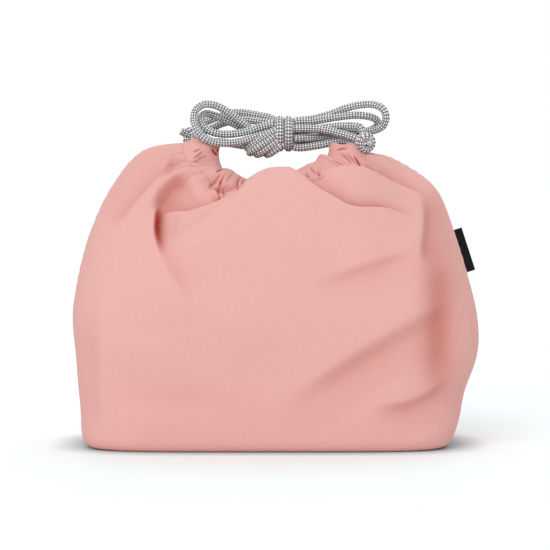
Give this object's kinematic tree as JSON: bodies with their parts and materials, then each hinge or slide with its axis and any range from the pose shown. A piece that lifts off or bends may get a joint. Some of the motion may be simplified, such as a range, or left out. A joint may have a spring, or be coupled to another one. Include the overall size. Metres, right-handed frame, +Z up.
{
  "type": "drawstring lunch pouch",
  "caption": "Soft boxed fabric pouch with a gathered mouth, doubled drawstrings tied in a bow over it, and a small woven tab in the side seam.",
  "frame": {"origin": "on the floor plane, under the middle of the flat base", "axes": "+Z up, +X to the right side with the tab, -Y towards the front face"},
  "size_m": [0.2203, 0.121, 0.185],
  "materials": {
    "shell_fabric": "matte plain-woven polyester, coral pink",
    "hem_fabric": "matte plain-woven polyester, doubled and stitched, coral pink",
    "braided_cord": "braided polyester cord, light grey with white flecks",
    "woven_ribbon": "black woven satin ribbon, plain"
  },
  "bodies": {
    "bag": {"base_panel": "shell_fabric", "front_panel": "shell_fabric", "back_panel": "shell_fabric", "front_hem": "hem_fabric", "back_hem": "hem_fabric", "left_cord_in_hem": "braided_cord", "right_cord_in_hem": "braided_cord"},
    "bow": {"left_leg_front": "braided_cord", "left_leg_back": "braided_cord", "right_leg_front": "braided_cord", "right_leg_back": "braided_cord", "left_loop_outer": "braided_cord", "left_loop_inner": "braided_cord", "right_loop_outer": "braided_cord", "right_loop_inner": "braided_cord", "left_tail_lower": "braided_cord", "left_tail_upper": "braided_cord", "right_tail_lower": "braided_cord", "right_tail_upper": "braided_cord", "bow_knot": "braided_cord", "left_end_knot": "braided_cord", "right_end_knot": "braided_cord"},
    "tab": {"side_tab": "woven_ribbon"}
  },
  "joints": [
    {"name": "bow_lift", "type": "slide", "parent": "bag", "child": "bow", "axis": [0, 0, 1], "range_m": [0, 0.018]},
    {"name": "tab_flex", "type": "hinge", "parent": "bag", "child": "tab", "pos_m": [0.10218, 0, 0.10532], "axis": [-0.3088, 0, 0.9511], "range_deg": [-65, 65], "stiffness_Nm_per_rad": 0.0008}
  ]
}
